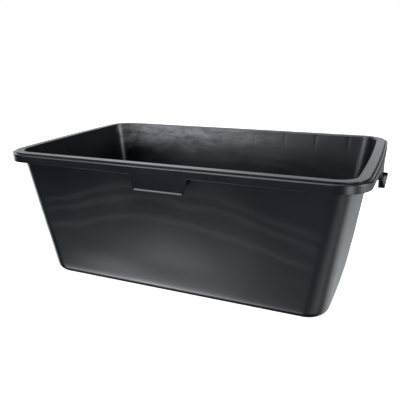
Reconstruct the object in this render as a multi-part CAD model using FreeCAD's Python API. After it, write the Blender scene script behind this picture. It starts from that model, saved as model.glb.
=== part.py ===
"""Rectangular mortar mixing tub, a one-piece plastic moulding, in millimetres.

+X runs along the long sides, +Y to the back, +Z up; the origin is the centre of the underside.
The moulding is written as named sections (floor, walls, corners, rim, lip, grips and ribs) that
meet face to face, one solid or one group of like solids to a node.
"""
import FreeCAD
import Part
import math
import os

# driving dimensions
RIM_LENGTH = 730.0          # over the bowed short sides, without the grip ledges
RIM_WIDTH = 452.0
HEIGHT = 276.0
RIM_CORNER_RADIUS = 56.0
SIDE_BOW_RADIUS = 4250.0    # the short sides bow out gently
RIM_OVERHANG = 20.0         # from the wall's outer face out to the lip's outer face
WALL = 3.6                  # measured level
FLOOR = 4.0
BASE_HALF_LENGTH = 303.0    # where the drafted walls would meet the ground
BASE_HALF_WIDTH = 178.0
BASE_CORNER_RADIUS = 42.0
BOTTOM_EDGE_RADIUS = 22.0
FLANGE_THICKNESS = 4.0
STEP_DROP = 2.5             # the outer strip of the rim lies this much lower
STEP_INSET = 6.5            # width of that outer strip
RIM_EDGE_RADIUS = 2.4
INNER_EDGE_RADIUS = 3.0
LIP_THICKNESS = 3.0
LIP_DEPTH = 16.0            # from the top of the outer strip down
GRIP_DROP = 30.5            # how far a grip hangs below the lip
GRIP_HALF_TOP = 59.0
GRIP_HALF_BOTTOM = 51.0
GRIP_BORDER = 2.2           # raised border round a grip panel
GRIP_RECESS = 0.8
LEDGE_REACH = 8.5           # how far the ledge of a short-side grip stands out
LEDGE_THICKNESS = 3.0
LEDGE_CORNER_RADIUS = 1.0
LEDGE_SETBACK = 0.6         # gusset and end rib stop this far short of the ledge's edge
GUSSET_HEIGHT = 21.5
GUSSET_TOP_REACH = 0.4      # the gusset's tip stays this far inside the rim's outline
GUSSET_THICKNESS = 2.8
END_RIB_HEIGHT = 3.0
RIB_THICKNESS = 2.6
RIB_START = 50.0            # first rib each side of the middle, at a grip's end
RIB_PITCH = 75.0
LONG_SIDE_RIBS = 3          # plain ribs each side of the middle on a long side
SHORT_SIDE_RIBS = 1
RIB_LIFT = 2.0              # plain ribs stop this far above the lip's lower edge
WEB_DROP = 16.0             # ribs at a grip's ends reach this far below the lip
CUT_MARGIN = 5.0            # the rim's corner sections reach this far past the corner arcs

# worked out from them
HALF_LENGTH = RIM_LENGTH / 2
HALF_WIDTH = RIM_WIDTH / 2
STRIP_TOP = HEIGHT - STEP_DROP
STRIP_BOTTOM = STRIP_TOP - FLANGE_THICKNESS
FLANGE_BOTTOM = HEIGHT - FLANGE_THICKNESS
LIP_BOTTOM = STRIP_TOP - LIP_DEPTH
GRIP_BOTTOM = LIP_BOTTOM - GRIP_DROP
LEDGE_TOP = GRIP_BOTTOM + LEDGE_THICKNESS
WALL_CUT_X = BASE_HALF_LENGTH - BASE_CORNER_RADIUS
WALL_CUT_Y = BASE_HALF_WIDTH - BASE_CORNER_RADIUS
RIM_CUT_X = HALF_LENGTH - RIM_CORNER_RADIUS - 2 * CUT_MARGIN
RIM_CUT_Y = HALF_WIDTH - RIM_CORNER_RADIUS - CUT_MARGIN
FAR = 600.0                 # beyond the whole tub
SLACK = 1.0                 # a cutting body reaches this far past what it cuts
TOUCH = 0.01                # nearer than this counts as touching


def vec(x, y, z=0.0):
    """Short name for a vector."""
    return FreeCAD.Vector(x, y, z)


def outline(half_x, half_y, radius, bow, z):
    """Closed wire with straight long sides, bowed short sides and round corners."""
    reach = math.sqrt((bow - radius) ** 2 - (half_y - radius) ** 2)
    corner_x = half_x - bow + reach
    slope = math.atan2(half_y - radius, reach)
    touch_x = half_x - bow + bow * math.cos(slope)
    touch_y = bow * math.sin(slope)
    middle = (slope + math.pi / 2) / 2
    bend_x = corner_x + radius * math.cos(middle)
    bend_y = half_y - radius + radius * math.sin(middle)
    edges = []
    for side in (1, -1):
        near = vec(-side * corner_x, -side * half_y, z)
        far = vec(side * corner_x, -side * half_y, z)
        low = vec(side * touch_x, -side * touch_y, z)
        high = vec(side * touch_x, side * touch_y, z)
        end = vec(side * corner_x, side * half_y, z)
        edges.append(Part.LineSegment(near, far))
        edges.append(Part.Arc(far, vec(side * bend_x, -side * bend_y, z), low))
        edges.append(Part.Arc(low, vec(side * half_x, 0, z), high))
        edges.append(Part.Arc(high, vec(side * bend_x, side * bend_y, z), end))
    return Part.Wire([edge.toShape() for edge in edges])


def rim_outline(inset, z):
    """Plan shape of the rim, moved inwards by inset."""
    return outline(HALF_LENGTH - inset, HALF_WIDTH - inset, RIM_CORNER_RADIUS - inset,
                   SIDE_BOW_RADIUS - inset, z)


def wall_outline(inset, z):
    """Plan shape of the drafted wall at height z, moved inwards by inset."""
    share = z / HEIGHT
    half_x = BASE_HALF_LENGTH + (HALF_LENGTH - RIM_OVERHANG - BASE_HALF_LENGTH) * share
    half_y = BASE_HALF_WIDTH + (HALF_WIDTH - RIM_OVERHANG - BASE_HALF_WIDTH) * share
    radius = BASE_CORNER_RADIUS + (RIM_CORNER_RADIUS - RIM_OVERHANG - BASE_CORNER_RADIUS) * share
    return outline(half_x - inset, half_y - inset, radius - inset, SIDE_BOW_RADIUS - inset, z)


def prism(wire, height):
    """Solid that stands on a closed level wire."""
    return Part.Face(wire).extrude(vec(0, 0, height))


def block(x0, x1, y0, y1, z0, z1):
    """Box between two corners."""
    return Part.makeBox(x1 - x0, y1 - y0, z1 - z0, vec(x0, y0, z0))


def edges_on(shape, wire):
    """Edges of a shape whose middle lies on a wire."""
    found = []
    for edge in shape.Edges:
        middle = edge.valueAt((edge.FirstParameter + edge.LastParameter) / 2)
        if wire.distToShape(Part.Vertex(middle))[0] < TOUCH:
            found.append(edge)
    return found


def wall_body(inset, low, high, edge_radius):
    """Solid inside the wall's face, with its bottom edge rounded."""
    loft = Part.makeLoft([wall_outline(inset, low), wall_outline(inset, high)], True, True)
    return loft.makeFillet(edge_radius, edges_on(loft, wall_outline(inset, low)))


def outer_body():
    """Solid inside the tub's outer face, up to the underside of the flange."""
    return wall_body(0.0, 0.0, FLANGE_BOTTOM, BOTTOM_EDGE_RADIUS)


def tub_shell():
    """Floor and walls in one thin shell."""
    inner = wall_body(WALL, FLOOR, FLANGE_BOTTOM + SLACK, BOTTOM_EDGE_RADIUS - FLOOR)
    return outer_body().cut(inner)


def rim_ring(outer_inset, inner_inset, low, high):
    """Ring of the rim's plan shape between two insets and two heights."""
    outer = prism(rim_outline(outer_inset, low), high - low)
    return outer.cut(prism(rim_outline(inner_inset, low), high - low))


def flange_ring():
    """Flat top of the rim and its lower outer strip, with rounded edges."""
    strip = rim_ring(0.0, STEP_INSET, STRIP_BOTTOM, STRIP_TOP)
    strip = strip.makeFillet(RIM_EDGE_RADIUS, edges_on(strip, rim_outline(0.0, STRIP_TOP)))
    flat = prism(rim_outline(STEP_INSET, FLANGE_BOTTOM), FLANGE_THICKNESS)
    hole = wall_outline(WALL, FLANGE_BOTTOM)
    flat = flat.cut(prism(hole, FLANGE_THICKNESS))
    hole.translate(vec(0, 0, FLANGE_THICKNESS))
    flat = flat.makeFillet(INNER_EDGE_RADIUS, edges_on(flat, hole))
    return flat.fuse(strip)


def lip_ring():
    """Downturned lip that hangs from the outer strip."""
    return rim_ring(0.0, LIP_THICKNESS, LIP_BOTTOM, STRIP_BOTTOM)


def cut_ring(ring, cut_x, cut_y):
    """Straight sections and corner sections of a ring, by the name of their place."""
    spans_x = {"left": (-FAR, -cut_x), "": (-cut_x, cut_x), "right": (cut_x, FAR)}
    spans_y = {"front": (-FAR, -cut_y), "": (-cut_y, cut_y), "back": (cut_y, FAR)}
    sections = {}
    for word_y, (y0, y1) in spans_y.items():
        for word_x, (x0, x1) in spans_x.items():
            place = "_".join(word for word in (word_y, word_x) if word) or "middle"
            section = ring.common(block(x0, x1, y0, y1, -FAR, FAR))
            if section.Solids:
                sections[place] = section
    return sections


def split_at_grip(section):
    """A bowed lip section as three solids, so that each is nearly straight."""
    spans = ((-FAR, -GRIP_HALF_TOP), (-GRIP_HALF_TOP, GRIP_HALF_TOP), (GRIP_HALF_TOP, FAR))
    slices = [section.common(block(-FAR, FAR, y0, y1, -FAR, FAR)) for y0, y1 in spans]
    return Part.makeCompound([piece for part in slices for piece in part.Solids])


def turn(shape, angle):
    """Copy turned about the vertical axis."""
    copy = shape.copy()
    copy.rotate(vec(0, 0, 0), vec(0, 0, 1), angle)
    return copy


def trapezoid(inset, angle):
    """Prism of a grip's outline seen from outside, reaching outwards from the middle."""
    lean = (GRIP_HALF_TOP - GRIP_HALF_BOTTOM) / GRIP_DROP
    low = GRIP_BOTTOM + inset
    half_low = GRIP_HALF_BOTTOM - inset * (1 - lean)
    half_high = GRIP_HALF_TOP - inset
    points = [vec(-half_high, 0, LIP_BOTTOM), vec(-half_low, 0, low)]
    points += [vec(half_low, 0, low), vec(half_high, 0, LIP_BOTTOM), vec(-half_high, 0, LIP_BOTTOM)]
    return turn(Part.Face(Part.makePolygon(points)).extrude(vec(0, -FAR, 0)), angle)


def grip_panel(angle):
    """Grip panel below the lip with a slightly recessed field inside its border."""
    panel = rim_ring(0.0, LIP_THICKNESS, GRIP_BOTTOM, LIP_BOTTOM).common(trapezoid(0.0, angle))
    skin = rim_ring(-SLACK, GRIP_RECESS, GRIP_BOTTOM, LIP_BOTTOM)
    return panel.cut(skin.common(trapezoid(GRIP_BORDER, angle)))


def facing(shape, side):
    """The shape as built for the right side, or its mirror image for the left."""
    if side > 0:
        return shape
    return shape.mirror(vec(0, 0, 0), vec(1, 0, 0))


def outside_rim(shape, side):
    """The part of a shape that stands outside the rim's outline, on the side asked for."""
    return facing(shape.cut(prism(rim_outline(0.0, 0.0), HEIGHT)), side)


def grip_ledge(side):
    """Ledge that stands out from the foot of a short-side grip."""
    reach = HALF_LENGTH + LEDGE_REACH
    ledge = block(0, reach, -GRIP_HALF_BOTTOM, GRIP_HALF_BOTTOM, GRIP_BOTTOM, LEDGE_TOP)
    corners = []
    for edge in ledge.Edges:
        if abs(edge.BoundBox.XMin - reach) < TOUCH and edge.BoundBox.YLength > SLACK:
            corners.append(edge)
    return outside_rim(ledge.makeFillet(LEDGE_CORNER_RADIUS, corners), side)


def grip_gusset(side):
    """Upright triangular web between grip panel and ledge, at the front end."""
    y = -GRIP_HALF_BOTTOM
    foot = vec(HALF_LENGTH + LEDGE_REACH - LEDGE_SETBACK, y, LEDGE_TOP)
    tip = vec(HALF_LENGTH - GUSSET_TOP_REACH, y, LEDGE_TOP + GUSSET_HEIGHT)
    corners = [vec(0, y, LEDGE_TOP), foot, tip, vec(0, y, tip.z), vec(0, y, LEDGE_TOP)]
    web = Part.Face(Part.makePolygon(corners)).extrude(vec(0, GUSSET_THICKNESS, 0))
    return outside_rim(web, side)


def grip_end_rib(side):
    """Low rib across the ledge at its back end."""
    reach = HALF_LENGTH + LEDGE_REACH - LEDGE_SETBACK
    web = block(0, reach, GRIP_HALF_BOTTOM - GUSSET_THICKNESS, GRIP_HALF_BOTTOM,
                LEDGE_TOP, LEDGE_TOP + END_RIB_HEIGHT)
    return outside_rim(web, side)


def rib(position, low, angle):
    """Upright rib between wall and lip, under the flange, that many mm from the middle."""
    half = RIB_THICKNESS / 2
    slab = turn(block(position - half, position + half, -FAR, 0, low, FLANGE_BOTTOM), angle)
    inside = prism(rim_outline(LIP_THICKNESS, low), FLANGE_BOTTOM - low)
    strip = rim_ring(-SLACK, STEP_INSET, STRIP_BOTTOM, FLANGE_BOTTOM)
    return slab.common(inside).cut(outer_body()).cut(strip)


def plain_ribs(count, angle):
    """Evenly spaced ribs each side of the middle, outside the grip."""
    ribs = []
    for step in range(1, count + 1):
        for side in (-1, 1):
            position = side * (RIB_START + RIB_PITCH * step)
            ribs.append(rib(position, LIP_BOTTOM + RIB_LIFT, angle))
    return Part.makeCompound(ribs)


def grip_webs(angle):
    """The two deeper ribs at the ends of a grip."""
    return Part.makeCompound([rib(side * RIB_START, LIP_BOTTOM - WEB_DROP, angle) for side in (-1, 1)])


def main():
    """Write every node."""
    os.makedirs("parts", exist_ok=True)
    nodes = {}
    for place, section in cut_ring(tub_shell(), WALL_CUT_X, WALL_CUT_Y).items():
        name = "floor_pan" if place == "middle" else "wall_" + place
        nodes[name] = section
    for place, section in cut_ring(flange_ring(), RIM_CUT_X, RIM_CUT_Y).items():
        nodes["rim_" + place] = section
    for place, section in cut_ring(lip_ring(), RIM_CUT_X, RIM_CUT_Y).items():
        nodes["lip_" + place] = split_at_grip(section) if place in ("left", "right") else section
    angles = {"front": 0, "right": 90, "back": 180, "left": 270}
    for place, angle in angles.items():
        nodes["grip_panel_" + place] = grip_panel(angle)
        nodes["grip_webs_" + place] = grip_webs(angle)
        count = LONG_SIDE_RIBS if place in ("front", "back") else SHORT_SIDE_RIBS
        nodes["rim_ribs_" + place] = plain_ribs(count, angle)
    for place, side in (("right", 1), ("left", -1)):
        nodes["grip_ledge_" + place] = grip_ledge(side)
        nodes["grip_gusset_" + place] = grip_gusset(side)
        nodes["grip_end_rib_" + place] = grip_end_rib(side)
    for name, shape in nodes.items():
        if not shape.isValid():
            raise ValueError(name + " is not a valid shape")
        shape.exportStep("parts/" + name + ".step")
        print(name, len(shape.Solids), round(shape.Volume / 1000.0, 2), "cm3")


main()
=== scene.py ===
"""Looks of the mortar mixing tub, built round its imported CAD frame, in metres.

The moulding is one continuous skin, swept from a section round the tub's outline. It is divided into
closed sections named like the CAD model's, and neighbours share their normals, so no seam shows.
"""
import math
import bmesh
import bpy
from mathutils import Matrix, Vector, noise


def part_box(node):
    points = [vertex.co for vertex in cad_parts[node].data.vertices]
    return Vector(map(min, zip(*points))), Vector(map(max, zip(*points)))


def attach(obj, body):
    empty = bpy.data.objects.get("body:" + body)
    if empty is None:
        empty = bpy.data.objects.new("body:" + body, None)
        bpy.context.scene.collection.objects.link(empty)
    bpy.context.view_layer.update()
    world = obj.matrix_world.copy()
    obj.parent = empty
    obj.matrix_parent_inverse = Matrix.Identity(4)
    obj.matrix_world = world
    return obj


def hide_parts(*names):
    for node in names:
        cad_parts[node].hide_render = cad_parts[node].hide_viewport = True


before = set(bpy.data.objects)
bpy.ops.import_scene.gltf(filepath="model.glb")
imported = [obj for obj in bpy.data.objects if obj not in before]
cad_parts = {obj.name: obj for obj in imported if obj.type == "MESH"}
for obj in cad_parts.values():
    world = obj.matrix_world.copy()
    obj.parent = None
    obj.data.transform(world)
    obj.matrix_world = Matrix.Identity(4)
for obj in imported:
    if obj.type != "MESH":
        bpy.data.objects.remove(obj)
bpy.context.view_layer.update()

# heights and half sizes that the frame gives
HALF_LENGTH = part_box("rim_right")[1].x
HALF_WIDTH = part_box("rim_back")[1].y
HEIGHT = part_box("rim_front")[1].z
FLANGE_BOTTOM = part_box("rim_ribs_front")[1].z
STRIP_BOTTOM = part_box("lip_front")[1].z
LIP_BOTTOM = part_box("lip_front")[0].z
GRIP_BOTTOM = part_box("grip_panel_front")[0].z
GRIP_HALF_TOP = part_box("grip_panel_front")[1].x
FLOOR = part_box("floor_pan")[1].z
LEDGE_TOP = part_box("grip_ledge_right")[1].z
LEDGE_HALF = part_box("grip_ledge_right")[1].y
LEDGE_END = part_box("grip_ledge_right")[1].x
RIB_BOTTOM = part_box("rim_ribs_front")[0].z
WEB_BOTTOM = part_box("grip_webs_front")[0].z
GUSSET_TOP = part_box("grip_gusset_right")[1].z
END_RIB_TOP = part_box("grip_end_rib_right")[1].z

# the moulding's other measures
STEP_DROP = 0.0025          # the rim's outer strip lies this much lower than its flat
STRIP_TOP = HEIGHT - STEP_DROP
RIM_RADIUS = 0.056
BOW_RADIUS = 4.25
OVERHANG = 0.020
WALL = 0.0036
BASE_HALF_LENGTH = 0.303
BASE_HALF_WIDTH = 0.178
BASE_RADIUS = 0.042
BOTTOM_EDGE = 0.022
STEP_INSET = 0.0065
STEP_EDGE = 0.0004
BEAD_RADIUS = 0.0027        # rounded bead along the rim outside the step, with a groove inside it
BEAD_TURN = 150             # degrees of the bead's arc, from its outer side to the groove
INNER_EDGE = 0.003
LIP_THICKNESS = 0.003
SMALL_EDGE = 0.0008
UNDER_EDGE = 0.0005
UNDER_HOLD = 0.0006         # a row this near the lip keeps the corner behind it crisp
ROOT_EDGE = 0.0015          # fillet between the wall and the flange's underside
WALL_CUT = FLANGE_BOTTOM - 0.002
OUTER_CUT = WALL_CUT - 0.0004
GRIP_HALF_BOTTOM = LEDGE_HALF
GRIP_BORDER = 0.0022
GRIP_RECESS = 0.0008
GRIP_FADE = 0.014           # the recess fades out upwards over this height
RIB_THICKNESS = 0.0026
RIB_START = 0.050
RIB_PITCH = 0.075
RIB_MARGIN = 0.02           # no rib stands nearer than this to the end of a side
RIB_SUNK = 0.0012           # ribs reach this far into what they join
RIB_EDGE = 0.0005
LEDGE_EDGE = 0.0009
LEDGE_SUNK = 0.0015         # ledge, gusset and end rib reach this far into the lip
GUSSET_THICKNESS = 0.0028
GUSSET_EDGE = 0.0004
GUSSET_TIP = 0.0004         # the gusset's top stays this far inside the rim's outline
GUSSET_STEP = 0.0008        # height of the gusset's outer edge above the ledge
FOOT_SUNK = 0.001           # gusset and end rib reach this far into the ledge
END_RIB_EDGE = 0.0006
SETBACK = 0.0006            # gusset and end rib stop this far short of the ledge's edge

# how finely the skin is divided
GRIP_STEP = 0.0028
SIDE_STEP = 0.009
MARK_STEPS = (-0.008, -0.005, -0.0025, 0, 0.0025, 0.005, 0.008)
MARK_REACH = 0.009
CORNER_STEPS = 18
WALL_STEPS = 30
EDGE_STEPS = 5
BEND_STEPS = 10
BEND_TURN = 80              # degrees of the walls' rounded bottom edge
FLANGE_SHARES = (0.1, 0.35, 0.65, 0.9)
FLOOR_SHARES = (0, 0.02, 0.06, 0.14, 0.3, 0.5, 0.7, 0.88)
FLOOR_CROWN = 0.0006        # rise of the floor towards its middle
FLOOR_KEEP = 0.002          # half width that even a full inset would leave
SMALLEST_RADIUS = 0.0015

# unevenness of the walls, which fades in and out between these heights, and the sink marks that
# face the ribs
WAVE_DEPTH = 0.0007
WAVE_SIZE = 0.16
WAVE_SQUEEZE = 1.4          # the waves are this much shorter upwards
WAVE_START = (0.02, 0.07)
WAVE_END = (0.2, 0.262)
SINK_DEPTH = 0.0004
SINK_WIDTH = 0.0028
SINK_FADE = 0.028

# bands that the melt left on the walls: their heights above the middle of a long side, how far they
# droop away from it, and how they wander (noise scale and depth)
BAND_HEIGHTS = (0.172, 0.213, 0.236)
BAND_WIDTH = 0.011
BAND_DROOP = 0.38
BAND_DRIFTS = ((4.0, 0.045), (22.0, 0.018), (90.0, 0.009))

# directions and sizes of the fine scratches
SCRATCHES = ((0.6, 130.0), (-0.9, 170.0), (1.9, 210.0))

# colours
BLACK = (0.0012, 0.0020, 0.0048, 1)
GREYED = (0.006, 0.0075, 0.012, 1)
# colour of the painted highlight on the back wall's inside
PAINTED_HIGHLIGHT = (0.22, 0.22, 0.235, 1)
PALE = (0.86, 0.86, 0.86, 1)
WHITE = (1, 1, 1, 1)
LIGHT_TINT = (0.96, 1, 1.03, 1)

FLOOR_HALF = 9.0
FLOOR_GLOW = 1.1            # the floor's own light keeps it nearly white

LENS = 44.28
SENSOR = 36.0
CAMERA_PLACE = (0.4094, -0.9709, 0.4780)
CAMERA_YAW, CAMERA_PITCH, CAMERA_ROLL = 0.4119, 0.3035, 0.0125

# soft lights seen far away from the tub: azimuth, elevation and radius in degrees, and strength;
# those below the horizon stand for the bright ground that the walls mirror
SOFT_BOXES = (
    (-20, 5, 9, 10.0),
    (-34, 15, 10, 18.0),
    (-22, 30, 14, 9.0),
    (-35, 55, 20, 5.0),
    (0, 85, 40, 2.5),
    (-41, -46, 12, 11.0),
    (-41, -58, 14, 5.0),
    (-110, -14, 25, 4.0),
    (5, -40, 22, 0.3),
    (50, -10, 17, 6.5),
    (45, -50, 20, 1.0),
    (70, -40, 20, 1.0),
    (95, 4, 22, 9.0),
    (110, -25, 25, 1.6),
    (140, -36, 30, 1.4),
    (180, -25, 25, 0.6),
    (180, 12, 20, 1.1),
    (-150, 18, 20, 1.6),
    (-118, 18, 20, 4.0),
)


def smooth(low, high, value):
    """0 below low, 1 above high, and an even rise between them."""
    share = min(max((value - low) / (high - low), 0.0), 1.0)
    return share * share * (3 - 2 * share)


def rib_places(half):
    """Distances of the ribs from the middle of a side, out to half."""
    places = []
    place = RIB_START
    while place < half - RIB_MARGIN:
        places.append(place)
        place += RIB_PITCH
    return places


def side_stations(half):
    """Places along a side from -half to half: close together on the grip and at the ribs."""
    border = [GRIP_HALF_TOP - step * SMALL_EDGE for step in range(6)]
    places = [0.0] + border
    inner = GRIP_HALF_TOP - 6 * SMALL_EDGE
    count = round(inner / GRIP_STEP)
    places += [inner * step / count for step in range(1, count + 1)]
    outer = GRIP_HALF_TOP + SMALL_EDGE
    count = round((half - outer) / SIDE_STEP)
    places += [outer + (half - outer) * step / count for step in range(count + 1)]
    for rib in rib_places(half)[1:]:
        places = [place for place in places if abs(place - rib) > MARK_REACH]
        places += [rib + offset for offset in MARK_STEPS]
    places = sorted(set(places))
    return [-place for place in reversed(places[1:])] + places


def corner_reach(half_x, half_y, radius, bow):
    """Middle of a corner arc, and the angle at which the bowed short side meets it."""
    reach = math.sqrt((bow - radius) ** 2 - (half_y - radius) ** 2)
    return half_x - bow + reach, math.atan2(half_y - radius, reach)


LONG_HALF, RIM_SLOPE = corner_reach(HALF_LENGTH, HALF_WIDTH, RIM_RADIUS, BOW_RADIUS)
SHORT_HALF = BOW_RADIUS * RIM_SLOPE
LONG_SHARES = [place / LONG_HALF for place in side_stations(LONG_HALF)]
SHORT_SHARES = [place / SHORT_HALF for place in side_stations(SHORT_HALF)]


def ring(half_x, half_y, radius, bow=BOW_RADIUS):
    """Points of a level outline with their outward normals, from the front left corner to the right."""
    corner_x, slope = corner_reach(half_x, half_y, radius, bow)
    points = []
    for sign in (1, -1):
        for share in LONG_SHARES:
            points.append((sign * corner_x * share, -sign * half_y, 0.0, -sign))
        for step in range(1, CORNER_STEPS):
            angle = -math.pi / 2 + (math.pi / 2 - slope) * step / CORNER_STEPS
            normal = (sign * math.cos(angle), sign * math.sin(angle))
            points.append((sign * corner_x + radius * normal[0],
                           sign * (radius - half_y) + radius * normal[1], *normal))
        for share in SHORT_SHARES:
            normal = (sign * math.cos(slope * share), sign * math.sin(slope * share))
            points.append((sign * (half_x - bow) + bow * normal[0], bow * normal[1], *normal))
        for step in range(1, CORNER_STEPS):
            angle = slope + (math.pi / 2 - slope) * step / CORNER_STEPS
            normal = (sign * math.cos(angle), sign * math.sin(angle))
            points.append((sign * corner_x + radius * normal[0],
                           sign * (half_y - radius) + radius * normal[1], *normal))
    return points


RIM_RING = ring(HALF_LENGTH, HALF_WIDTH, RIM_RADIUS)
COLUMNS = len(RIM_RING)


def column_spans():
    """First and last column of each section round the outline, by its place."""
    spans = {}
    start = 0
    long_steps, short_steps = len(LONG_SHARES) - 1, len(SHORT_SHARES) - 1
    places = (("front", long_steps), ("front_right", CORNER_STEPS), ("right", short_steps),
              ("back_right", CORNER_STEPS), ("back", long_steps), ("back_left", CORNER_STEPS),
              ("left", short_steps), ("front_left", CORNER_STEPS))
    for place, steps in places:
        spans[place] = (start, start + steps)
        start += steps
    return spans


SPANS = column_spans()


def rim_row(inset, z):
    """Row of points that follows the rim's outline, moved inwards."""
    return [Vector((x - nx * inset, y - ny * inset, z)) for x, y, nx, ny in RIM_RING]


def wall_measure(base, top, z, inset, floor, edge):
    """Half size of a leaning wall at height z, and how far its rounded bottom edge draws it in."""
    slope = (top - base) / HEIGHT
    line = base + slope * z - inset
    lean = math.atan(slope)
    tangent = edge * math.tan((math.pi / 2 - lean) / 2)
    above = z - floor
    if above >= edge * (1 - math.sin(lean)):
        return line, 0.0
    level = base + slope * floor - inset - tangent
    half = level + math.sqrt(max(edge ** 2 - (edge - above) ** 2, 0.0))
    return half, line - half


def wall_ring(z, inset, floor, edge):
    """Outline of the wall's face at height z."""
    half_x, gap_x = wall_measure(BASE_HALF_LENGTH, HALF_LENGTH - OVERHANG, z, inset, floor, edge)
    half_y, gap_y = wall_measure(BASE_HALF_WIDTH, HALF_WIDTH - OVERHANG, z, inset, floor, edge)
    radius = BASE_RADIUS + (RIM_RADIUS - OVERHANG - BASE_RADIUS) * z / HEIGHT - inset
    return ring(half_x, half_y, radius - (gap_x + gap_y) / 2)


def sink(x, y, nx, ny):
    """Depth of the sink mark at a point of the wall, opposite the ribs under the rim."""
    along, half = (x, LONG_HALF) if abs(ny) > abs(nx) else (y, SHORT_HALF)
    return sum(SINK_DEPTH * math.exp(-((abs(along) - rib) / SINK_WIDTH) ** 2) for rib in rib_places(half))


def wall_row(z, inset, floor, edge):
    """Row of points on a wall's face, with the slight unevenness of a large thin moulding."""
    points = []
    fade = smooth(*WAVE_START, z) * (1 - smooth(*WAVE_END, z))
    mark = smooth(RIB_BOTTOM - SINK_FADE, RIB_BOTTOM, z) if inset else 0.0
    for x, y, nx, ny in wall_ring(z, inset, floor, edge):
        wave = noise.noise(Vector((x, y, z * WAVE_SQUEEZE)) / WAVE_SIZE) * WAVE_DEPTH * fade
        out = wave + mark * sink(x, y, nx, ny)
        points.append(Vector((x + nx * out, y + ny * out, z)))
    return points


def wall_levels(floor, edge):
    """Heights of the rows of a wall's face, close together on its rounded bottom edge."""
    turn = math.radians(BEND_TURN)
    bends = [floor + edge * (1 - math.cos(turn * step / BEND_STEPS)) for step in range(BEND_STEPS + 1)]
    rise = WALL_CUT - bends[-1]
    return bends + [bends[-1] + rise * step / WALL_STEPS for step in range(1, WALL_STEPS + 1)]


def arc(centre_inset, centre_z, radius, start, end, steps=EDGE_STEPS):
    """Insets and heights along a round edge; 0 points outwards and 90 upwards, in degrees."""
    points = []
    for step in range(steps + 1):
        angle = math.radians(start + (end - start) * step / steps)
        points.append((centre_inset - radius * math.cos(angle), centre_z + radius * math.sin(angle)))
    return points


def mixed(row_a, row_b, share):
    """Row between two rows."""
    return [a.lerp(b, share) for a, b in zip(row_a, row_b)]


def rim_top_rows():
    """Rows from the wall's inner face over the rim to the top of the lip's outer face."""
    rows = [wall_row(WALL_CUT, WALL, FLOOR, BOTTOM_EDGE - FLOOR)]
    hole = wall_ring(FLANGE_BOTTOM, WALL, FLOOR, BOTTOM_EDGE - FLOOR)
    for inset, z in arc(-INNER_EDGE, HEIGHT - INNER_EDGE, INNER_EDGE, 180, 90, 7):
        rows.append([Vector((x - nx * inset, y - ny * inset, z)) for x, y, nx, ny in hole])
    step_edge = arc(STEP_INSET + STEP_EDGE, HEIGHT - STEP_EDGE, STEP_EDGE, 90, 0)
    flat_end = rim_row(*step_edge[0])
    rows += [mixed(rows[-1], flat_end, share) for share in FLANGE_SHARES]
    section = step_edge
    groove = STRIP_TOP - BEAD_RADIUS * (1 - math.sin(math.radians(BEAD_TURN)))
    section += arc(STEP_INSET - STEP_EDGE, groove + STEP_EDGE, STEP_EDGE, 180, 270, 4)
    section += arc(BEAD_RADIUS, STRIP_TOP - BEAD_RADIUS, BEAD_RADIUS, BEAD_TURN, 0, 12)
    section.append((0.0, STRIP_BOTTOM))
    return rows + [rim_row(inset, z) for inset, z in section]


def rim_under_rows():
    """Rows from the top of the lip's inner face along the flange's underside to the wall."""
    section = [(LIP_THICKNESS, STRIP_BOTTOM), (LIP_THICKNESS + UNDER_HOLD, STRIP_BOTTOM)]
    section += [(STEP_INSET - UNDER_EDGE, STRIP_BOTTOM), (STEP_INSET, STRIP_BOTTOM + UNDER_EDGE)]
    section += [(STEP_INSET, FLANGE_BOTTOM - UNDER_EDGE), (STEP_INSET + UNDER_EDGE, FLANGE_BOTTOM)]
    rows = [rim_row(inset, z) for inset, z in section]
    root = wall_ring(FLANGE_BOTTOM, 0.0, 0.0, BOTTOM_EDGE)
    for inset, z in arc(-ROOT_EDGE, FLANGE_BOTTOM - ROOT_EDGE, ROOT_EDGE, 90, 180, 4):
        rows.append([Vector((x - nx * inset, y - ny * inset, z)) for x, y, nx, ny in root])
    rows.append(wall_row(OUTER_CUT, 0.0, 0.0, BOTTOM_EDGE))
    return rows


def on_grip(column):
    """Whether a column of the outline lies over a grip panel."""
    x, y, nx, ny = RIM_RING[column]
    along = x if abs(ny) > 0.99 else BOW_RADIUS * math.asin(ny) if abs(nx) > 0.99 else 1.0
    return abs(along) < GRIP_HALF_TOP + 1e-6


def lip_rows():
    """Rows down the lip, under it and up its inner face; level where a grip panel continues it."""
    section = [(0.0, STRIP_BOTTOM), (0.0, LIP_BOTTOM + 0.006), (0.0, LIP_BOTTOM + 0.002)]
    section += arc(SMALL_EDGE, LIP_BOTTOM + SMALL_EDGE, SMALL_EDGE, 0, -90)
    section += arc(LIP_THICKNESS - SMALL_EDGE, LIP_BOTTOM + SMALL_EDGE, SMALL_EDGE, -90, -180)
    section += [(LIP_THICKNESS, LIP_BOTTOM + 0.002), (LIP_THICKNESS, STRIP_BOTTOM)]
    rows = [rim_row(inset, z) for inset, z in section]
    first, last = 3, len(section) - 3
    for column in range(COLUMNS):
        if on_grip(column):
            x, y, nx, ny = RIM_RING[column]
            for index in range(first, last + 1):
                inset = LIP_THICKNESS * (index - first) / (last - first)
                rows[index][column] = Vector((x - nx * inset, y - ny * inset, LIP_BOTTOM))
    return rows


def floor_rows(outer, z):
    """Rows from a floor face's edge in to a small middle outline, rising slightly to it."""
    half_x, half_y, radius = outer
    rows = []
    for share in FLOOR_SHARES:
        inset = (half_y - FLOOR_KEEP) * share
        level = z + FLOOR_CROWN * smooth(0, 1, share)
        points = ring(half_x - inset, half_y - inset, max(radius - inset, SMALLEST_RADIUS))
        rows.append([Vector((x, y, level)) for x, y, nx, ny in points])
    return rows


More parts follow.
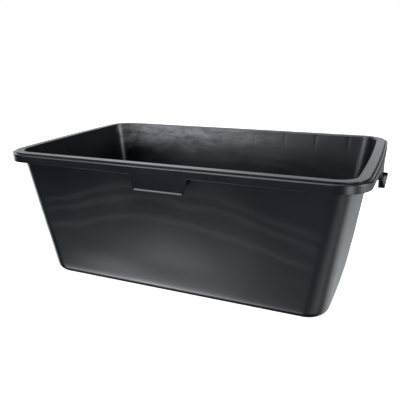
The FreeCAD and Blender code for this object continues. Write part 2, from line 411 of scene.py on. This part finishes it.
class Section:
    """Faces of one closed section; skin faces are shaded smoothly, cut faces stay flat."""

    def __init__(self, name, replaced):
        self.name = name
        self.replaced = replaced
        self.points = []
        self.faces = []
        self.skin = []
        self.found = {}

    def point(self, position):
        """Index of a point, shared where two rows meet."""
        key = tuple(round(value * 1e7) for value in position)
        if key not in self.found:
            self.found[key] = len(self.points)
            self.points.append(Vector(position))
        return self.found[key]

    def face(self, corners, skin):
        """Adds a face without repeated corners."""
        face = []
        for corner in corners:
            if corner not in face:
                face.append(corner)
        if len(face) > 2:
            self.faces.append(face)
            self.skin.append(skin)

    def sweep(self, rows, cuts, closed_ends):
        """Closed body between rows that run round its section; cuts names the rows before cut faces."""
        grid = [[self.point(position) for position in row] for row in rows]
        for index, row in enumerate(grid):
            after = grid[(index + 1) % len(grid)]
            for left in range(len(row) - 1):
                corners = (row[left], after[left], after[left + 1], row[left + 1])
                self.face(corners, index not in cuts)
        if closed_ends:
            self.face([row[0] for row in reversed(grid)], False)
            self.face([row[-1] for row in grid], False)


def span_of(row, place):
    """The stretch of a row that belongs to one place round the outline."""
    first, last = SPANS[place]
    return [row[column % COLUMNS] for column in range(first, last + 1)]


def ring_sections(prefix, pieces):
    """Sections round the outline from runs of rows; each run ends at a cut."""
    sections = []
    for place in SPANS:
        section = Section(prefix + place, [prefix + place])
        rows = [span_of(row, place) for run in pieces for row in run]
        cuts = set()
        count = 0
        for run in pieces:
            count += len(run)
            cuts.add(count - 1)
        section.sweep(rows, cuts, True)
        sections.append(section)
    return sections


def wall_sections():
    """The four walls and four wall corners."""
    inner_edge = BOTTOM_EDGE - FLOOR
    inner = [wall_row(z, WALL, FLOOR, inner_edge) for z in wall_levels(FLOOR, inner_edge)]
    outer = [wall_row(z, 0.0, 0.0, BOTTOM_EDGE) for z in wall_levels(0.0, BOTTOM_EDGE)]
    top = rim_under_rows()[-1]
    return ring_sections("wall_", [inner, [top] + outer[-2::-1]])


def floor_section():
    """The floor inside the walls' bottom edges, slightly crowned."""
    section = Section("floor_pan", ["floor_pan"])
    faces = []
    for z, inset, edge in ((FLOOR, WALL, BOTTOM_EDGE - FLOOR), (0.0, 0.0, BOTTOM_EDGE)):
        half_x = wall_measure(BASE_HALF_LENGTH, HALF_LENGTH - OVERHANG, z, inset, z, edge)
        half_y = wall_measure(BASE_HALF_WIDTH, HALF_WIDTH - OVERHANG, z, inset, z, edge)
        radius = BASE_RADIUS + (RIM_RADIUS - OVERHANG - BASE_RADIUS) * z / HEIGHT - inset
        faces.append(floor_rows((half_x[0], half_y[0], radius - (half_x[1] + half_y[1]) / 2), z))
    upper, lower = faces
    rows = [row + row[:1] for row in reversed(upper)] + [row + row[:1] for row in lower]
    section.sweep(rows, {len(upper) - 1, len(rows) - 1}, False)
    # the sweep's last run of faces would join the two middle outlines; each gets a cap instead
    section.faces = section.faces[:(len(rows) - 1) * (len(rows[0]) - 1)]
    section.skin = section.skin[:len(section.faces)]
    section.face([section.point(position) for position in upper[-1]], True)
    section.face([section.point(position) for position in reversed(lower[-1])], True)
    return section


def at_rim(side, along, z, depth):
    """Point that far along a side, at a depth behind the rim's outer face."""
    turns = {"front": 0, "right": 1, "back": 2, "left": 3}[side]
    if side in ("front", "back"):
        x, y = along, -(HALF_WIDTH - depth)
    else:
        angle = along / BOW_RADIUS
        x = (BOW_RADIUS - depth) * math.sin(angle)
        y = -(HALF_LENGTH - BOW_RADIUS + (BOW_RADIUS - depth) * math.cos(angle))
    for turn in range(turns):
        x, y = -y, x
    return Vector((x, y, z))


def grip_heights():
    """Heights of a grip panel's rows, close together at its lower border."""
    top = [LIP_BOTTOM - step for step in (0, 0.001, 0.002, 0.003, 0.004, 0.006)]
    low = [GRIP_BOTTOM + SMALL_EDGE * step for step in (6, 5, 4, 3, 2, 1)]
    count = 6
    middle = [top[-1] + (low[0] - top[-1]) * step / (count + 1) for step in range(1, count + 1)]
    return top + middle + low


def grip_half(z):
    """Half width of a grip panel at a height."""
    share = (z - GRIP_BOTTOM) / (LIP_BOTTOM - GRIP_BOTTOM)
    return GRIP_HALF_BOTTOM + (GRIP_HALF_TOP - GRIP_HALF_BOTTOM) * share


def grip_section(side):
    """Grip panel that continues the lip downwards, with a raised border round its face."""
    section = Section("grip_panel_" + side, ["grip_panel_" + side])
    edge = SMALL_EDGE
    heights = grip_heights()
    places = [place for place in side_stations(LONG_HALF) if abs(place) < GRIP_HALF_TOP + 1e-6]
    shares = [place / GRIP_HALF_TOP for place in places]

    def recess(share, z):
        inside = min((1 - abs(share)) * grip_half(z), z - GRIP_BOTTOM)
        border = smooth(GRIP_BORDER - SMALL_EDGE / 2, GRIP_BORDER + SMALL_EDGE, inside)
        return GRIP_RECESS * border * smooth(0, GRIP_FADE, LIP_BOTTOM - z)

    def path(offset, depth):
        points = [at_rim(side, offset - grip_half(z), z, depth) for z in heights]
        bend = (edge - offset) * math.sqrt(0.5)
        low = heights[-1]
        half = grip_half(low) - edge
        points.append(at_rim(side, -half - bend, low - bend, depth))
        points += [at_rim(side, share * half, GRIP_BOTTOM + offset, depth) for share in shares]
        points.append(at_rim(side, half + bend, low - bend, depth))
        points += [at_rim(side, grip_half(z) - offset, z, depth) for z in reversed(heights)]
        return points

    def grid(depth_at):
        rows = []
        for z in heights:
            half = grip_half(z) - edge
            rows.append([at_rim(side, share * half, z, depth_at(share, z)) for share in shares])
        return rows

    outer = grid(recess)
    inner = grid(lambda share, z: LIP_THICKNESS)
    for rows, flip in ((outer, False), (inner, True)):
        for above, below in zip(rows, rows[1:]):
            for left in range(len(above) - 1):
                corners = [section.point(position) for position in
                           (above[left], below[left], below[left + 1], above[left + 1])]
                section.face(corners[::-1] if flip else corners, True)
    strips = []
    for step in range(EDGE_STEPS + 1):
        angle = math.pi / 2 * step / EDGE_STEPS
        strips.append(path(edge * (1 - math.sin(angle)), edge * (1 - math.cos(angle))))
    for step in range(EDGE_STEPS + 1):
        angle = math.pi / 2 * step / EDGE_STEPS
        strips.append(path(edge * (1 - math.cos(angle)), LIP_THICKNESS - edge * (1 - math.sin(angle))))
    for near, far in zip(strips, strips[1:]):
        for left in range(len(near) - 1):
            corners = [section.point(position) for position in
                       (near[left], far[left], far[left + 1], near[left + 1])]
            section.face(corners, True)
    rim = [section.point(position) for position in outer[0]]
    rim += [section.point(strip[-1]) for strip in strips[1:-1]]
    rim += [section.point(position) for position in reversed(inner[0])]
    rim += [section.point(strip[0]) for strip in reversed(strips[1:-1])]
    section.face(rim, False)
    return section


def shared_normals(sections):
    """Normals of the skin by position, summed over every section."""
    sums = {}
    for section in sections:
        for face, skin in zip(section.faces, section.skin):
            if skin:
                corners = [section.points[index] for index in face]
                normal = Vector((0, 0, 0))
                for first, second in zip(corners, corners[1:] + corners[:1]):
                    normal += (first - corners[0]).cross(second - corners[0])
                for corner in corners:
                    key = tuple(round(value * 1e6) for value in corner)
                    sums[key] = sums.get(key, Vector((0, 0, 0))) + normal
    return sums


def section_object(section, normals, material):
    """Mesh object of a section, shaded with the shared normals."""
    mesh = bpy.data.meshes.new(section.name)
    mesh.from_pydata(section.points, [], section.faces)
    mesh.materials.append(material)
    mesh.shade_smooth()
    loops = [Vector((0, 0, 1))] * len(mesh.loops)
    for polygon, skin in zip(mesh.polygons, section.skin):
        for loop in polygon.loop_indices:
            position = mesh.vertices[mesh.loops[loop].vertex_index].co
            key = tuple(round(value * 1e6) for value in position)
            normal = normals.get(key) if skin else None
            loops[loop] = normal.normalized() if normal and normal.length > 0 else polygon.normal.copy()
    mesh.normals_split_custom_set(loops)
    return place_piece(section.name + "_look", mesh, section.replaced)


def place_piece(name, mesh, replaced):
    """Puts a mesh into the scene as a piece of the tub."""
    piece = bpy.data.objects.new(name, mesh)
    bpy.context.scene.collection.objects.link(piece)
    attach(piece, "root")
    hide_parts(*replaced)
    return piece


def bevelled(builder, outlines, thickness, edge):
    """Adds plates with rounded edges to a mesh: each outline is extruded along a direction."""
    for outline, direction in outlines:
        part = bmesh.new()
        near = [part.verts.new(point) for point in outline]
        far = [part.verts.new(point + direction * thickness) for point in outline]
        part.faces.new(near)
        part.faces.new(list(reversed(far)))
        for index in range(len(near)):
            after = (index + 1) % len(near)
            part.faces.new((near[after], near[index], far[index], far[after]))
        bmesh.ops.recalc_face_normals(part, faces=part.faces)
        bmesh.ops.bevel(part, geom=part.edges[:], offset=edge, segments=3, profile=0.5,
                        affect="EDGES", clamp_overlap=True)
        mesh = bpy.data.meshes.new("part")
        part.to_mesh(mesh)
        part.free()
        builder.from_mesh(mesh)
        bpy.data.meshes.remove(mesh)


def plate_piece(name, outlines, thickness, edge, replaced, material):
    """Piece made of plates with rounded edges."""
    builder = bmesh.new()
    bevelled(builder, outlines, thickness, edge)
    mesh = bpy.data.meshes.new(name)
    builder.to_mesh(mesh)
    builder.free()
    mesh.materials.append(material)
    mesh.shade_smooth()
    mesh.set_sharp_from_angle(angle=math.radians(35))
    return place_piece(name, mesh, replaced)


def wall_depth(side, z):
    """How far behind the rim's outer face the wall's outer face stands at a height."""
    if side in ("front", "back"):
        return HALF_WIDTH - wall_measure(BASE_HALF_WIDTH, HALF_WIDTH - OVERHANG, z, 0, 0, BOTTOM_EDGE)[0]
    return HALF_LENGTH - wall_measure(BASE_HALF_LENGTH, HALF_LENGTH - OVERHANG, z, 0, 0, BOTTOM_EDGE)[0]


def rib_outline(side, along, low):
    """Outline of an upright rib between wall and lip, sunk slightly into both and into the flange."""
    high = FLANGE_BOTTOM + RIB_SUNK
    start = along - RIB_THICKNESS / 2
    near = LIP_THICKNESS - RIB_SUNK
    corners = ((wall_depth(side, low) + RIB_SUNK, low), (near, low),
               (near, high), (wall_depth(side, high) + RIB_SUNK, high))
    points = [at_rim(side, start, z, depth) for depth, z in corners]
    direction = (at_rim(side, along + 0.001, low, 0) - at_rim(side, along - 0.001, low, 0)).normalized()
    return points, direction


def rib_pieces(material):
    """Plain ribs under the rim, and the deeper webs at the ends of each grip."""
    halves = (("front", LONG_HALF), ("back", LONG_HALF), ("left", SHORT_HALF), ("right", SHORT_HALF))
    for side, half in halves:
        places = rib_places(half)
        webs = [rib_outline(side, sign * places[0], WEB_BOTTOM) for sign in (-1, 1)]
        ribs = [rib_outline(side, sign * place, RIB_BOTTOM) for place in places[1:] for sign in (-1, 1)]
        for node, outlines in (("grip_webs_" + side, webs), ("rim_ribs_" + side, ribs)):
            plate_piece(node + "_look", outlines, RIB_THICKNESS, RIB_EDGE, [node], material)


def mirrored(points, sign):
    """Points as built for the right side, or mirrored for the left."""
    return [Vector((sign * point.x, point.y, point.z)) for point in points]


def ledge_pieces(material):
    """Ledge, gusset and low end rib at the foot of each short-side grip."""
    up = Vector((0, 0, 1))
    along = Vector((0, 1, 0))
    sunk = HALF_LENGTH - LEDGE_SUNK
    setback = LEDGE_END - SETBACK
    foot = LEDGE_TOP - FOOT_SUNK
    near, far = -LEDGE_HALF, LEDGE_HALF - GUSSET_THICKNESS
    ledge = [Vector((sunk, -LEDGE_HALF, GRIP_BOTTOM)), Vector((LEDGE_END, -LEDGE_HALF, GRIP_BOTTOM)),
             Vector((LEDGE_END, LEDGE_HALF, GRIP_BOTTOM)), Vector((sunk, LEDGE_HALF, GRIP_BOTTOM))]
    gusset = [Vector((sunk, near, foot)), Vector((setback, near, foot)),
              Vector((setback, near, LEDGE_TOP + GUSSET_STEP)),
              Vector((HALF_LENGTH - GUSSET_TIP, near, GUSSET_TOP)), Vector((sunk, near, GUSSET_TOP))]
    end_rib = [Vector((sunk, far, foot)), Vector((setback, far, foot)),
               Vector((setback, far, END_RIB_TOP)), Vector((sunk, far, END_RIB_TOP))]
    plates = (("grip_ledge_", ledge, up, LEDGE_TOP - GRIP_BOTTOM, LEDGE_EDGE),
              ("grip_gusset_", gusset, along, GUSSET_THICKNESS, GUSSET_EDGE),
              ("grip_end_rib_", end_rib, along, GUSSET_THICKNESS, END_RIB_EDGE))
    for side, sign in (("right", 1), ("left", -1)):
        for prefix, outline, direction, thickness, edge in plates:
            node = prefix + side
            plate_piece(node + "_look", [(mirrored(outline, sign), direction)], thickness, edge,
                        [node], material)


class Nodes:
    """Short ways to add shader nodes to a material."""

    def __init__(self, material):
        self.tree = material.node_tree

    def add(self, kind, **inputs):
        """A node of a kind, with values or links for its inputs."""
        node = self.tree.nodes.new(kind)
        for name, value in inputs.items():
            socket = node.inputs[int(name[1:])] if name[0] == "i" and name[1:].isdigit() \
                else node.inputs[name.replace("_", " ")]
            if isinstance(value, bpy.types.NodeSocket):
                self.tree.links.new(value, socket)
            else:
                socket.default_value = value
        return node

    def maths(self, operation, first, second=0.0):
        """Result of a sum on one or two values."""
        node = self.add("ShaderNodeMath", i0=first, i1=second)
        node.operation = operation
        return node.outputs[0]

    def noise(self, vector, scale, detail=2.0, roughness=0.5):
        """Soft noise from 0 to 1."""
        return self.add("ShaderNodeTexNoise", Vector=vector, Scale=scale, Detail=detail,
                        Roughness=roughness).outputs["Fac"]

    def span(self, value, low, high, to_low=0.0, to_high=1.0):
        """A value spread from one range to another, held at both ends."""
        node = self.add("ShaderNodeMapRange", Value=value, From_Min=low, From_Max=high,
                        To_Min=to_low, To_Max=to_high)
        node.interpolation_type = "SMOOTHSTEP"
        return node.outputs["Result"]

    def mix(self, share, first, second):
        """Colour between two colours."""
        node = self.add("ShaderNodeMix", i0=share, i6=first, i7=second)
        node.data_type = "RGBA"
        return node.outputs[2]

    def stretched(self, vector, scale, turn):
        """Coordinates turned and stretched, for streaks and scratches."""
        return self.add("ShaderNodeMapping", Vector=vector, Scale=scale, Rotation=turn).outputs["Vector"]


def flow_bands(nodes, place):
    """Faint bands that the melt left on the walls as it spread from the gate under the floor."""
    x, y, z = nodes.add("ShaderNodeSeparateXYZ", Vector=place).outputs
    level = nodes.maths("ADD", nodes.maths("MULTIPLY", x, x), nodes.maths("MULTIPLY", y, y))
    away = nodes.maths("SUBTRACT", nodes.maths("SQRT", level), BASE_HALF_WIDTH)
    reach = nodes.maths("ADD", nodes.maths("MULTIPLY", away, BAND_DROOP), z)
    for scale, depth in BAND_DRIFTS:
        drift = nodes.maths("SUBTRACT", nodes.noise(place, scale, 2.0), 0.5)
        reach = nodes.maths("ADD", reach, nodes.maths("MULTIPLY", drift, depth))
    total = 0.0
    for place_up in BAND_HEIGHTS:
        gap = nodes.maths("ABSOLUTE", nodes.maths("SUBTRACT", reach, place_up))
        total = nodes.maths("ADD", nodes.span(gap, 0.0, BAND_WIDTH, 1.0, 0.0), total)
    patchy = nodes.span(nodes.noise(place, 7.0, 2.0), 0.3, 0.6, 0.35, 1.0)
    return nodes.maths("MULTIPLY", total, patchy)


def scratches(nodes, place):
    """Fine scratches in a few directions, thinned out by a patchy mask."""
    total = 0.0
    for turn, scale in SCRATCHES:
        streaks = nodes.stretched(place, (scale, scale * 0.05, scale * 0.4), (0.0, 0.0, turn))
        total = nodes.maths("MAXIMUM", nodes.span(nodes.noise(streaks, 3.0, 2.0), 0.62, 0.72), total)
    patches = nodes.span(nodes.noise(place, 14.0, 3.0), 0.42, 0.66)
    return nodes.maths("MULTIPLY", total, patches)


def painted_back_wall_highlight(nodes, place, inside):
    """Painted highlight: a pale patch near the top of the back wall's inside, brightest at its left, patchy
    and streaked.
    """
    x, y, z = nodes.add("ShaderNodeSeparateXYZ", Vector=place).outputs
    slanted = nodes.stretched(place, (13.0, 13.0, 34.0), (0.0, 0.5, 0.0))
    patches = nodes.span(nodes.noise(slanted, 1.6, 6.0, 0.65), 0.33, 0.68, 0.25, 1.0)
    edge = nodes.maths("ADD", z, nodes.maths("MULTIPLY", nodes.noise(place, 16.0, 3.0), 0.06))
    share = nodes.maths("MULTIPLY", patches, nodes.span(edge, 0.232, 0.3))
    share = nodes.maths("MULTIPLY", share, nodes.span(x, -0.16, 0.17, 1.0, 0.04))
    share = nodes.maths("MULTIPLY", share, nodes.span(y, 0.165, 0.19))
    return nodes.maths("MULTIPLY", share, inside)


def black_plastic():
    """Moulded black polyethylene: satin, slightly uneven, scratched where it is handled."""
    material = bpy.data.materials.new("moulded_black_plastic")
    material.use_nodes = True
    nodes = Nodes(material)
    shader = nodes.tree.nodes["Principled BSDF"]
    place = nodes.add("ShaderNodeTexCoord").outputs["Object"]
    facing = nodes.add("ShaderNodeNewGeometry").outputs["Normal"]

    # masks: faces that look up (painted lighter, as light from above), the rim with its lip and grips, the
    # inside of the walls
    upwards = nodes.span(nodes.add("ShaderNodeSeparateXYZ", Vector=facing).outputs[2], 0.75, 0.98)
    height = nodes.add("ShaderNodeSeparateXYZ", Vector=place).outputs[2]
    rim = nodes.span(height, LIP_BOTTOM - 0.03, LIP_BOTTOM - 0.001)
    outwards = nodes.add("ShaderNodeVectorMath", i0=facing, i1=place)
    outwards.operation = "DOT_PRODUCT"
    inside = nodes.span(outwards.outputs["Value"], -0.09, -0.03, 1.0, 0.0)

    # marks on the surface
    bands = nodes.maths("MULTIPLY", flow_bands(nodes, place), nodes.maths("SUBTRACT", 1.0, rim))
    marks = nodes.maths("MULTIPLY", scratches(nodes, place), nodes.span(rim, 0.0, 1.0, 0.25, 1.0))
    cloud = nodes.noise(place, 11.0, 4.0)
    haze = nodes.maths("MULTIPLY", nodes.span(nodes.noise(place, 13.0, 3.0), 0.38, 0.68), inside)

    # colour
    tone = nodes.maths("ADD", nodes.maths("MULTIPLY", cloud, 0.35), nodes.maths("MULTIPLY", bands, 0.15))
    tone = nodes.maths("ADD", tone, nodes.maths("MULTIPLY", marks, 0.5))
    # painted light: faces that look up are painted lighter grey, as if lit from above
    tone = nodes.maths("ADD", tone, nodes.maths("MULTIPLY", upwards, 0.25))
    # painted highlight: a pale patch on the back wall's inside is mixed into the colour
    colour = nodes.mix(painted_back_wall_highlight(nodes, place, inside), nodes.mix(tone, BLACK, GREYED), PAINTED_HIGHLIGHT)
    nodes.tree.links.new(colour, shader.inputs["Base Color"])

    # gloss
    rough = nodes.maths("ADD", nodes.span(cloud, 0.3, 0.7, 0.28, 0.31), nodes.maths("MULTIPLY", bands, 0.055))
    rough = nodes.maths("ADD", rough, nodes.maths("MULTIPLY", marks, 0.12))
    rough = nodes.maths("ADD", rough, nodes.maths("MULTIPLY", haze, 0.05))
    nodes.tree.links.new(rough, shader.inputs["Roughness"])
    shader.inputs["IOR"].default_value = 1.5

    # fine relief: grain, a softer unevenness and the scratches
    grain = nodes.noise(place, 1400.0, 2.0)
    peel = nodes.noise(place, 120.0, 3.0)
    relief = nodes.maths("ADD", nodes.maths("MULTIPLY", grain, 0.05), nodes.maths("MULTIPLY", peel, 0.25))
    relief = nodes.maths("SUBTRACT", relief, nodes.maths("MULTIPLY", marks, 0.12))
    bump = nodes.add("ShaderNodeBump", Height=relief, Strength=0.35, Distance=0.0004)
    nodes.tree.links.new(bump.outputs["Normal"], shader.inputs["Normal"])
    return material


def tub(material):
    """Every piece of the tub."""
    sections = wall_sections() + [floor_section()]
    sections += ring_sections("rim_", [rim_top_rows(), rim_under_rows()])
    sections += ring_sections("lip_", [lip_rows()])
    sections += [grip_section(side) for side in ("front", "right", "back", "left")]
    normals = shared_normals(sections)
    for section in sections:
        section_object(section, normals, material)
    rib_pieces(material)
    ledge_pieces(material)


def pale_material():
    """Even pale material that gives off a little light of its own."""
    material = bpy.data.materials.new("pale_floor")
    material.use_nodes = True
    shader = material.node_tree.nodes["Principled BSDF"]
    shader.inputs["Base Color"].default_value = PALE
    shader.inputs["Roughness"].default_value = 0.7
    shader.inputs["Specular IOR Level"].default_value = 0.2
    shader.inputs["Emission Color"].default_value = PALE
    shader.inputs["Emission Strength"].default_value = FLOOR_GLOW
    return material


def floor():
    """Plain pale floor that only the camera sees, so that it doesn't hide the light from below."""
    mesh = bpy.data.meshes.new("studio_floor")
    corners = [(x * FLOOR_HALF, y * FLOOR_HALF, 0) for x, y in ((-1, -1), (1, -1), (1, 1), (-1, 1))]
    mesh.from_pydata(corners, [], [(0, 1, 2, 3)])
    mesh.materials.append(pale_material())
    ground = bpy.data.objects.new("studio_floor", mesh)
    bpy.context.scene.collection.objects.link(ground)
    ground.visible_glossy = False
    ground.visible_diffuse = False
    ground.visible_shadow = False


def heading(azimuth, elevation):
    """Direction from the tub: azimuth 0 is the front, 90 the right; elevation is above the floor."""
    turn, rise = math.radians(azimuth), math.radians(elevation)
    return (math.sin(turn) * math.cos(rise), -math.cos(turn) * math.cos(rise), math.sin(rise))


def soft_box(nodes, direction, azimuth, elevation, radius, strength):
    """Brightness of a round soft light far away, fading out from its middle."""
    towards = nodes.add("ShaderNodeVectorMath", i0=direction, i1=heading(azimuth, elevation))
    towards.operation = "DOT_PRODUCT"
    return nodes.span(towards.outputs["Value"], math.cos(math.radians(radius)), 1.0, 0.0, strength)


def studio():
    """Soft studio light from all round, painted on the world, and a white backdrop for the camera."""
    world = bpy.data.worlds.new("studio")
    bpy.context.scene.world = world
    world.use_nodes = True
    nodes = Nodes(world)
    direction = nodes.add("ShaderNodeTexCoord").outputs["Generated"]
    total = 0.0
    for box in SOFT_BOXES:
        total = nodes.maths("ADD", soft_box(nodes, direction, *box), total)
    background = nodes.tree.nodes["Background"]
    background.inputs["Color"].default_value = LIGHT_TINT
    nodes.tree.links.new(total, background.inputs["Strength"])
    backdrop = nodes.add("ShaderNodeBackground", Color=WHITE, Strength=1.0)
    seen = nodes.add("ShaderNodeLightPath").outputs["Is Camera Ray"]
    mix = nodes.add("ShaderNodeMixShader", i0=seen, i1=background.outputs[0], i2=backdrop.outputs[0])
    nodes.tree.links.new(mix.outputs[0], nodes.tree.nodes["World Output"].inputs["Surface"])
    bpy.context.scene.view_settings.view_transform = "Standard"


def camera():
    """Camera in front of the tub and to its right, above the rim and looking down a little."""
    lens = bpy.data.cameras.new("camera")
    lens.lens = LENS
    lens.sensor_width = SENSOR
    holder = bpy.data.objects.new("camera", lens)
    holder.location = CAMERA_PLACE
    turn = Matrix.Rotation(CAMERA_YAW, 3, "Z") @ Matrix.Rotation(math.pi / 2 - CAMERA_PITCH, 3, "X")
    holder.rotation_euler = (turn @ Matrix.Rotation(-CAMERA_ROLL, 3, "Z")).to_euler()
    bpy.context.scene.collection.objects.link(holder)
    bpy.context.scene.camera = holder


tub(black_plastic())
floor()
studio()
camera()
